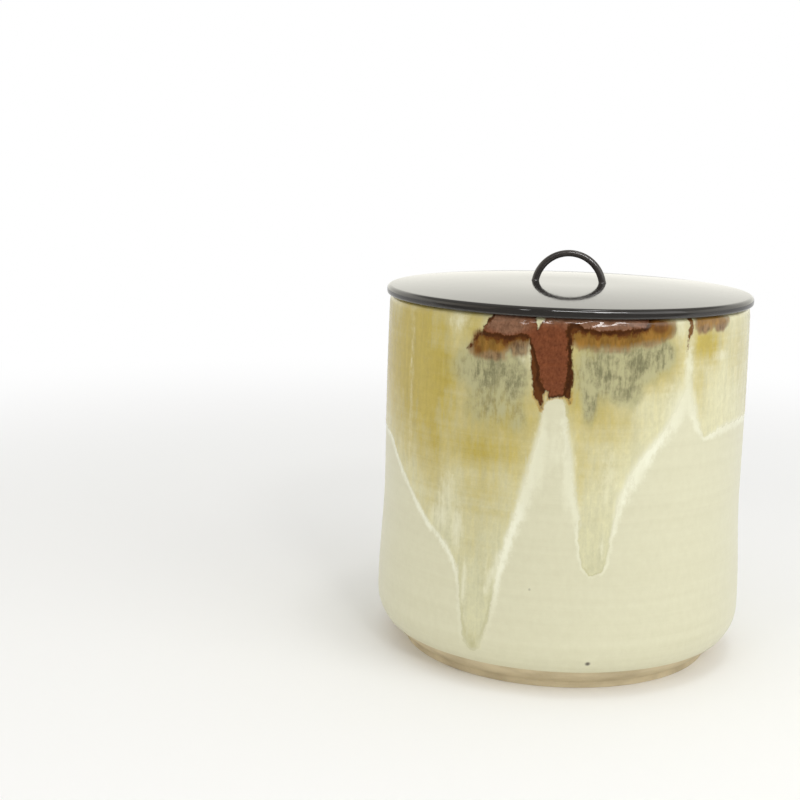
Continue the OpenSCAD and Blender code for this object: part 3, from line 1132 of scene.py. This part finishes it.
@dataclass(frozen=True)
class GlazedJar:
    """The thrown jar: its clay and the glaze that covers it.

    The lower edge of the glaze has steps, each with its rise above the edge and its thickness. Each ring
    wave has a height, a spacing, a twist and a phase, and each ripple a spacing along and up the wall.
    Values with between in their name are where a change starts and is complete, and those of the relief
    count up from the glaze's lower edge, and down from the top of the jar and the start of its lip.
    """

    shape: JarShape
    pattern: GlazePattern
    clay_segments: int = 240
    glaze_segments: int = 460
    clay_gap: float = 0.04
    bare_rise: float = 1.5
    covered_rise: float = 3.0
    back_rise: float = 1.0
    base_coat: float = 0.4
    edge_steps: tuple[Point2, ...] = ((0.1, 0.2), (0.35, 0.38))
    full_coat_rise: float = 0.9
    run_rise: float = 0.18
    run_between: Point2 = (-0.8, 2.6)
    lip_rise: float = 0.18
    lip_at: float = 1.1
    lip_w: float = 1.5
    ring_rise: float = 0.03
    ring_waves: tuple[Four, ...] = ((1.0, 6.1, 1.0, 0.0), (0.7, 3.7, -2.0, 0.3))
    iron_ripple: float = 0.11
    iron_ripples: tuple[Point2, ...] = ((5.3, 9.0), (3.4, -5.0))
    iron_between: Point2 = (0.5, 3.0)
    ripple_between: Point2 = (165.0, 172.0)
    relief_low_between: Point2 = (0.6, 2.2)
    relief_high_between: Point2 = (1.5, 2.0)
    pool_between: Point2 = (74.0, 40.0)
    pool_depth: float = 15.0
    pool_olive: float = 0.8

    def build(self) -> list[bpy.types.Object]:
        """Builds and dresses the clay and the glaze."""
        return [self.build_clay(), self.build_glaze()]

    def build_clay(self) -> bpy.types.Object:
        """Turns the clay: hollow foot with rounded edges, heel, wall, rim, inside and floor.

        Returns:
            The finished piece.
        """
        shape = self.shape
        hollow_r = shape.foot_r - shape.foot_ring
        edge, corner = shape.foot_round, shape.hollow_round
        flat_r = hollow_r - corner
        section = [(r, shape.foot_hollow) for r in (0.0, hollow_r / 2, flat_r)]
        section += arc_points((flat_r, shape.foot_hollow - corner), corner, 90, 0, steps=4)[1:]
        section += arc_points((hollow_r + edge, edge), edge, 180, 270, steps=4)
        section += arc_points((shape.foot_r - edge, edge), edge, -90, 0, steps=4)
        section += shape.outside(shape.foot_h, shape.glaze_line + self.bare_rise, 0.0, steps=16)
        section += shape.outside(shape.glaze_line + self.covered_rise, shape.lip_z, 0.0, steps=24)
        section += shape.rim_and_inside(0.0, arc=3, wall=14, heel=6, floor=2)
        piece = piece_from(turn_section(section, self.clay_segments), "jar_clay", ClayFinish().material())
        seat_piece(piece, Body.JAR, "clay_body")
        return piece

    def glaze_section(self) -> tuple[list[Point2], list[float]]:
        """Section of the glaze and how far up the unrolled wall each of its points lies.

        Returns:
            The points, from the lower edge up the outside, over the rim, down the inside and back along
            the clay, and their unrolled heights. Points on the clay have a height below zero.
        """
        shape, coat, gap = self.shape, self.base_coat, self.clay_gap
        line = shape.glaze_line
        outside = [shape.outside_point(line + rise, out) for rise, out in ((0.0, gap), *self.edge_steps)]
        outside += shape.outside(line + self.full_coat_rise, shape.belly_z, coat, steps=11)
        outside += shape.outside(shape.belly_z, shape.lip_z, coat, steps=120)[1:]
        inside = shape.rim_and_inside(coat, arc=6, wall=24, heel=8, floor=6)
        top = max(z for _, z in inside)
        inside = [(r, z + (shape.top - top) * (z > shape.lip_z)) for r, z in inside]
        back = list(reversed(shape.outside(line + self.back_rise, shape.lip_z, gap, steps=8)))
        under = list(reversed(shape.rim_and_inside(gap, arc=2, wall=4, heel=3, floor=2)))
        section = outside + inside + under + back
        tags = [z for _, z in outside]
        length = outside[-1][1]
        for before, after in zip([outside[-1]] + inside, inside):
            length += math.dist(before, after)
            tags.append(length)
        tags += [-1.0] * (len(under) + len(back))
        return section, tags

    def build_glaze(self) -> bpy.types.Object:
        """Turns the glaze, lets it run and carries its pattern on its vertices.

        Returns:
            The finished piece.
        """
        section, tags = self.glaze_section()
        bm = turn_section(section, self.glaze_segments, tags)
        piece = piece_from(bm, "jar_glaze", GlazeFinish().material())
        mesh = piece.data
        count = len(mesh.vertices)
        place = np.empty(count * 3)
        mesh.vertices.foreach_get("co", place)
        place = place.reshape(-1, 3)
        unrolled = np.empty(count)
        mesh.attributes["unrolled"].data.foreach_get("value", unrolled)
        turn = np.arctan2(place[:, 0], -place[:, 1]) - math.radians(FRONT_TURN_DEG)
        along = self.pattern.around(turn * self.pattern.girth / math.tau)
        wall = np.stack([along, unrolled], 1)
        fields = self.paint(wall, place)
        self.raise_relief(mesh, place, wall, fields)
        for name, values in fields.items():
            layer = mesh.attributes.new(name, "FLOAT", "POINT")
            layer.data.foreach_set("value", values.astype(np.float32))
        seat_piece(piece, Body.JAR, "glaze_coat")
        return piece

    def paint(self, wall: np.ndarray, place: np.ndarray) -> dict[str, np.ndarray]:
        """Works out the pattern at each vertex.

        Args:
            wall: Places on the unrolled wall in millimetres.
            place: Places of the vertices in metres.

        Returns:
            The fields that the glaze material reads, by name.
        """
        pattern = self.pattern
        pool = smoothstep(np.hypot(place[:, 0], place[:, 1]) / MM, *self.pool_between)
        pool *= wall[:, 1] > pattern.rim
        run_depth, edge_soft, edge_white = pattern.run_depth(wall)
        fields = {
            "run_depth": np.maximum(run_depth, (FAR + self.pool_depth) * pool - FAR),
            "edge_soft": edge_soft,
            "edge_white": edge_white,
            "iron_depth": pattern.iron_depth(wall),
            "core_depth": pattern.core_depth(wall),
            "amber_depth": pattern.patch_depth(wall, pattern.amber),
        }
        for name in ("ash", "olive", "pale", "thick", "mauve", "thin_iron_sheen"):
            fields[name] = pattern.gather(wall, getattr(pattern, name))
        fields["olive"] = np.maximum(fields["olive"], self.pool_olive * pool)
        return fields

    def raise_relief(
        self, mesh: bpy.types.Mesh, place: np.ndarray, wall: np.ndarray, fields: dict[str, np.ndarray]
    ) -> None:
        """Moves the outside out where the glaze is thick, along the runs and on the throwing rings.

        Args:
            mesh: Mesh of the glaze.
            place: Places of its vertices in metres.
            wall: The same places on the unrolled wall in millimetres.
            fields: Pattern at each vertex, by name.
        """
        along, height = wall[:, 0], wall[:, 1]
        run_depth = fields["run_depth"]
        rise = self.run_rise * smoothstep(run_depth, *self.run_between)
        rise += self.lip_rise * np.exp(-(((run_depth - self.lip_at) / self.lip_w) ** 2))
        turn = along / self.pattern.girth
        for size, spacing, twist, phase in self.ring_waves:
            rise += self.ring_rise * size * np.sin(math.tau * (height / spacing + twist * turn + phase))
        ripple = smoothstep(fields["iron_depth"], *self.iron_between)
        ripple *= smoothstep(height, *self.ripple_between)
        for across, up in self.iron_ripples:
            ripple *= np.sin(math.tau * (along / across + height / up))
        rise += self.iron_ripple * ripple
        shape = self.shape
        start, whole = self.relief_low_between
        end, last_whole = self.relief_high_between
        shown = smoothstep(height, shape.glaze_line + start, shape.glaze_line + whole)
        shown *= smoothstep(height, shape.top - end, shape.lip_z - last_whole)
        radius = np.hypot(place[:, 0], place[:, 1])
        scale = 1.0 + rise * shown * MM / np.maximum(radius, TINY)
        place[:, 0] *= scale
        place[:, 1] *= scale
        mesh.vertices.foreach_set("co", place.ravel())
        mesh.update()


# The lid


@dataclass(frozen=True)
class LacqueredLid:
    """The turned lid with its locating ring and its bow."""

    radius: float
    bottom: float
    thickness: float
    ring_outer_r: float
    ring_bottom: float
    bow_top: float
    edge_t: float = 4.6
    shoulder_r: float = 2.2
    under_r: float = 1.4
    flat_r: float = 20.0
    crown_power: float = 2.0
    board_segments: int = 260
    ring_w: float = 4.0
    ring_round: float = 0.8
    ring_seat: float = 0.4
    ring_segments: int = 200
    bow_r: float = 17.0
    bow_sink_deg: float = 4.0
    rod_r: float = 1.75
    rod_swell: float = 0.06
    bead_w: float = 0.22
    bead_h: float = 0.5
    bead_inside: float = 0.5
    bead_sink: float = 0.2
    bead_power: float = 2.2
    bead_steps: int = 5
    bead_segments: int = 40

    @property
    def edge_slope(self) -> float:
        """Slope of the crown where it meets the rounded edge, in radians."""
        return math.atan(self.crown_power * (self.thickness - self.edge_t) / (self.radius - self.flat_r))

    def crown(self, steps: int) -> list[Point2]:
        """Top of the lid, from the flat middle to the rounded shoulder.

        Args:
            steps: Number of spans of the falling part.

        Returns:
            Its points, without the one where the shoulder starts.
        """
        slope = self.edge_slope
        reach = self.radius - self.shoulder_r * (1 - math.sin(slope))
        fall = self.thickness - self.edge_t + self.shoulder_r * (1 - math.cos(slope))
        top = self.bottom + self.thickness
        points = line_points((0.0, top), (self.flat_r, top), steps=6)[:-1]
        for i in range(steps):
            share = i / steps
            r = self.flat_r + (reach - self.flat_r) * share
            points.append((r, top - fall * share**self.crown_power))
        return points

    def build(self) -> list[bpy.types.Object]:
        """Builds and dresses the board, its ring and the bow.

        Returns:
            The finished pieces.
        """
        # The lid's black is lifted above the lacquer's own near-black, as painted sheen for the light its
        # edge reflects.
        black = LacquerFinish(
            "lid_lacquer",
            black=(0.026, 0.0238, 0.022),
            brown=(0.030, 0.0265, 0.024),
            grain_per_metre=(14, 240, 14),
        )
        # The bow's colours are lifted above its lacquer's own dark brown, as painted sheen.
        brown = LacquerFinish(
            "bow_lacquer",
            black=(0.042, 0.037, 0.034),
            brown=(0.075, 0.065, 0.058),
            grain_per_metre=(60, 420, 60),
            roughness=0.17,
        )
        lacquer = black.material()
        return [self.build_board(lacquer), self.build_ring(lacquer), self.build_bow(brown.material())]

    def build_board(self, lacquer: bpy.types.Material) -> bpy.types.Object:
        """Turns the board: crown, rounded edge and flat underside.

        Args:
            lacquer: Its material.

        Returns:
            The finished piece.
        """
        shoulder = (self.radius - self.shoulder_r, self.bottom + self.edge_t - self.shoulder_r)
        under = (self.radius - self.under_r, self.bottom + self.under_r)
        section = self.crown(steps=56)
        section += arc_points(shoulder, self.shoulder_r, 90 - math.degrees(self.edge_slope), 0, steps=14)
        section += arc_points(under, self.under_r, 0, -90, steps=10)
        section += line_points((under[0], self.bottom), (0.0, self.bottom), steps=8)[1:]
        piece = piece_from(turn_section(section, self.board_segments), "lid_board_lacquered", lacquer)
        seat_piece(piece, Body.LID, "lid_board")
        return piece

    def build_ring(self, lacquer: bpy.types.Material) -> bpy.types.Object:
        """Turns the ring under the lid, with its edges rounded.

        Args:
            lacquer: Its material.

        Returns:
            The finished piece.
        """
        inner, outer, edge = self.ring_outer_r - self.ring_w, self.ring_outer_r, self.ring_round
        top = self.bottom + self.ring_seat
        section = [(outer, top)]
        section += arc_points((outer - edge, self.ring_bottom + edge), edge, 0, -90, steps=5)
        section += arc_points((inner + edge, self.ring_bottom + edge), edge, -90, -180, steps=5)
        section.append((inner, top))
        piece = piece_from(turn_section(section, self.ring_segments), "lid_ring_lacquered", lacquer)
        seat_piece(piece, Body.LID, "lid_locating_ring")
        return piece

    def build_bow(self, lacquer: bpy.types.Material) -> bpy.types.Object:
        """Bends the rod of the bow, a little thicker at its feet, with lacquer gathered round each foot.

        Args:
            lacquer: Its material.

        Returns:
            The finished piece.
        """
        axis_z = self.bow_top - self.rod_r - self.bow_r
        seat_z = self.bottom + self.thickness
        dip = math.asin((seat_z - axis_z) / self.bow_r) - math.radians(self.bow_sink_deg)
        bm = bmesh.new()
        made = bmesh.ops.create_circle(bm, cap_ends=True, radius=self.rod_r * MM, segments=28)
        bmesh.ops.translate(bm, verts=made["verts"], vec=(self.bow_r * MM, 0, 0))
        bmesh.ops.rotate(bm, verts=bm.verts, cent=(0, 0, 0), matrix=Matrix.Rotation(-dip, 3, "Y"))
        bmesh.ops.spin(
            bm, geom=bm.faces[:], cent=(0, 0, 0), axis=(0, -1, 0), angle=math.pi - 2 * dip, steps=72
        )
        for vert in bm.verts:
            around = math.atan2(vert.co.z, vert.co.x)
            core = Vector((math.cos(around), 0, math.sin(around))) * self.bow_r * MM
            swell = 1.0 + self.rod_swell * math.cos(2 * around)
            vert.co = core + (vert.co - core) * swell
        bmesh.ops.translate(bm, verts=bm.verts, vec=(0, 0, axis_z * MM))
        foot_x = math.sqrt(self.bow_r**2 - (seat_z - axis_z) ** 2)
        for side in (-1, 1):
            self.add_bead(bm, side * foot_x, seat_z)
        bmesh.ops.recalc_face_normals(bm, faces=bm.faces)
        piece = piece_from(bm, "bow_lacquered", lacquer)
        seat_piece(piece, Body.LID, "handle_bow")
        return piece

    def add_bead(self, bm: bmesh.types.BMesh, x: float, z: float) -> None:
        """Adds the bead of lacquer round one foot of the bow.

        Args:
            bm: Mesh of the bow.
            x: Place of the foot along the bow.
            z: Height of the lid there.
        """
        foot_r = self.rod_r * (1 + self.rod_swell)
        inner_r, outer_r, low = foot_r - self.bead_inside, foot_r + self.bead_w, z - self.bead_sink
        section = [(inner_r, low), (outer_r, low)]
        for i in range(self.bead_steps + 1):
            share = i / self.bead_steps
            width = self.bead_w * (1 - share) ** self.bead_power
            section.append((foot_r + width, z + self.bead_h * share))
        section.append((inner_r, z + self.bead_h))
        bead = turn_section(section, self.bead_segments)
        bmesh.ops.translate(bead, verts=bead.verts, vec=(x * MM, 0, 0))
        mesh = bpy.data.meshes.new("bead")
        bead.to_mesh(mesh)
        bead.free()
        bm.from_mesh(mesh)
        bpy.data.meshes.remove(mesh)


# The studio


@dataclass(frozen=True)
class SoftLight:
    """A soft lamp in the studio."""

    name: str
    place: Three
    aim: Three
    width: float
    depth: float
    watts: float
    tint: Color = (1.0, 1.0, 1.0)
    mirrored_only: bool = False


@dataclass(frozen=True)
class Studio:
    """Pale floor, soft lights and the camera at the photo's place.

    The floor turns white to the camera and dim in reflections between the two distances given for each.
    Each fade of the room has the two directions that it starts and ends at and its levels there.
    """

    lens_mm: float = 64.0
    sensor_mm: float = 36.0
    near_clip: float = 0.01
    distance: float = 0.7186
    eye_height: float = 0.2556
    look_down_deg: float = 10.60
    look_left_deg: float = 6.66
    roll_deg: float = 1.34
    floor_radius: float = 6.0
    floor_color: Color = (0.92, 0.92, 0.905)
    floor_mirrored: Color = (0.10, 0.10, 0.10)
    floor_roughness: float = 0.85
    floor_white: Point2 = (0.32, 0.95)
    floor_dim: Point2 = (-0.12, -0.40)
    sky: Color = (1.0, 1.0, 1.0)
    sky_level: float = 0.78
    mirrored_room: Color = (1.0, 0.985, 0.90)
    upward_fade: Four = (0.42, 0.62, 1.3, 0.4)
    forward_fade: Four = (-0.85, 0.2, 0.06, 1.0)
    lights: tuple[SoftLight, ...] = (
        SoftLight("key_right", (0.95, -0.55, 0.80), (0.0, 0.0, 0.09), 0.9, 0.9, 3.6),
        SoftLight("key_front", (0.58, -1.15, 1.0), (0.0, -0.05, 0.18), 0.24, 0.2, 3.0),
        SoftLight("window_left", (-0.5, -1.2, 0.95), (0.0, -0.05, 0.18), 0.13, 0.13, 0.8),
        SoftLight("ceiling", (0.23, -0.15, 1.45), (0.0, 0.0, 0.18), 0.22, 0.22, 1.3),
        SoftLight(
            "sheen_strip", (0.36, -0.85, 0.95), (0.36, -0.05, 0.18), 0.9, 0.16, 8.0, mirrored_only=True
        ),
        SoftLight("fill_left", (-0.9, -0.5, 0.5), (0.0, 0.0, 0.09), 0.8, 0.8, 0.6, (1.0, 0.84, 0.58)),
    )

    def build(self) -> None:
        """Sets up the floor, the world, the lights and the camera."""
        self.build_floor()
        self.build_world()
        for light in self.lights:
            self.build_light(light)
        self.build_camera()
        bpy.context.scene.view_settings.view_transform = "Standard"

    def build_floor(self) -> None:
        """Lays a pale round floor that fades to white, and to grey in what the jar's front reflects."""
        bench = MaterialBench("pale_floor")
        path = bench.add("ShaderNodeLightPath").outputs
        dim = bench.times(bench.span(bench.part(bench.coords, 1), *self.floor_dim), path["Is Glossy Ray"])
        bench.finish(bench.mix(dim, self.floor_color, self.floor_mirrored), self.floor_roughness)
        share = bench.span(bench.distance(bench.coords, (0.0, 0.0, 0.0)), *self.floor_white)
        share = bench.times(share, path["Is Camera Ray"])
        shaders = {0: share, 1: bench.shader.outputs[0], 2: bench.read("ShaderNodeEmission", {})}
        bench.feed(bench.output.inputs[0], bench.read("ShaderNodeMixShader", shaders))
        bm = bmesh.new()
        bmesh.ops.create_circle(bm, cap_ends=True, radius=self.floor_radius, segments=96)
        piece_from(bm, "floor", bench.material)

    def build_world(self) -> None:
        """White where the camera sees it, softer as light, and a room with a bright end in reflections."""
        world = bpy.data.worlds.new("soft_room")
        bpy.context.scene.world = world
        world.use_nodes = True
        bench = NodeBench(world.node_tree)
        path = bench.add("ShaderNodeLightPath").outputs
        coords = bench.read("ShaderNodeTexCoord", {}, "Generated")
        upward = bench.span(bench.part(coords, 2), *self.upward_fade)
        forward = bench.span(bench.part(coords, 1), *self.forward_fade)
        room = bench.shade(self.mirrored_room, bench.times(upward, forward))
        sky = bench.shade(self.sky, bench.span(path["Is Camera Ray"], 0.0, 1.0, self.sky_level, 1.0))
        glow = bench.read("ShaderNodeBackground", {"Color": bench.mix(path["Is Glossy Ray"], sky, room)})
        bench.feed(bench.add("ShaderNodeOutputWorld").inputs[0], glow)

    def build_light(self, light: SoftLight) -> None:
        """Hangs one soft lamp and turns it to its aim.

        Args:
            light: Its sizes and place.
        """
        data = bpy.data.lights.new(light.name, "AREA")
        data.shape = "RECTANGLE"
        data.size, data.size_y = light.width, light.depth
        data.energy = light.watts
        data.color = light.tint
        lamp = bpy.data.objects.new(light.name, data)
        lamp.location = light.place
        lamp.visible_diffuse = not light.mirrored_only
        lamp.rotation_euler = (Vector(light.aim) - Vector(light.place)).to_track_quat("-Z", "Y").to_euler()
        bpy.context.scene.collection.objects.link(lamp)

    def build_camera(self) -> None:
        """Puts the camera where the photo was taken from, with the photo's turn, tilt and roll."""
        data = bpy.data.cameras.new("photo_camera")
        data.lens = self.lens_mm
        data.sensor_width = self.sensor_mm
        data.clip_start = self.near_clip
        camera = bpy.data.objects.new("photo_camera", data)
        down, left = math.radians(self.look_down_deg), math.radians(self.look_left_deg)
        ahead = Vector((-math.sin(left) * math.cos(down), math.cos(left) * math.cos(down), -math.sin(down)))
        right = Vector((math.cos(left), math.sin(left), 0.0))
        up = right.cross(ahead)
        roll = math.radians(self.roll_deg)
        facing = Matrix((right, up, -ahead)).transposed().to_4x4() @ Matrix.Rotation(roll, 4, "Z")
        place = Matrix.Translation((0.0, -self.distance, self.eye_height))
        camera.matrix_world = Matrix.Rotation(math.radians(FRONT_TURN_DEG), 4, "Z") @ place @ facing
        bpy.context.scene.collection.objects.link(camera)
        bpy.context.scene.camera = camera


def main() -> None:
    """Loads the frame, builds the jar, the lid and the studio."""
    logging.basicConfig(level=logging.INFO, format="%(name)s: %(message)s")
    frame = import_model()
    clay_low, clay_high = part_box("clay_body")
    _, glaze_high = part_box("glaze_coat")
    shape = JarShape(belly_r=clay_high[0] / MM, top=glaze_high[2] / MM)
    foot = clay_low[2] / MM
    LOG.info("frame of %d nodes, jar from %.1f mm to %.1f mm", len(frame["nodes"]), foot, shape.top)
    pattern = GlazePattern(girth=math.tau * (shape.waist_r + shape.glaze), rim=shape.top)
    pieces = GlazedJar(shape, pattern).build()
    board_low, board_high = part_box("lid_board")
    ring_low, ring_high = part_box("lid_locating_ring")
    _, bow_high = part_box("handle_bow")
    lid = LacqueredLid(
        radius=board_high[0] / MM,
        bottom=board_low[2] / MM,
        thickness=(board_high[2] - board_low[2]) / MM,
        ring_outer_r=ring_high[0] / MM,
        ring_bottom=ring_low[2] / MM,
        bow_top=bow_high[2] / MM,
    )
    pieces += lid.build()
    LOG.info("%d pieces dressed", len(pieces))
    Studio().build()


if __name__ == "__main__":
    main()
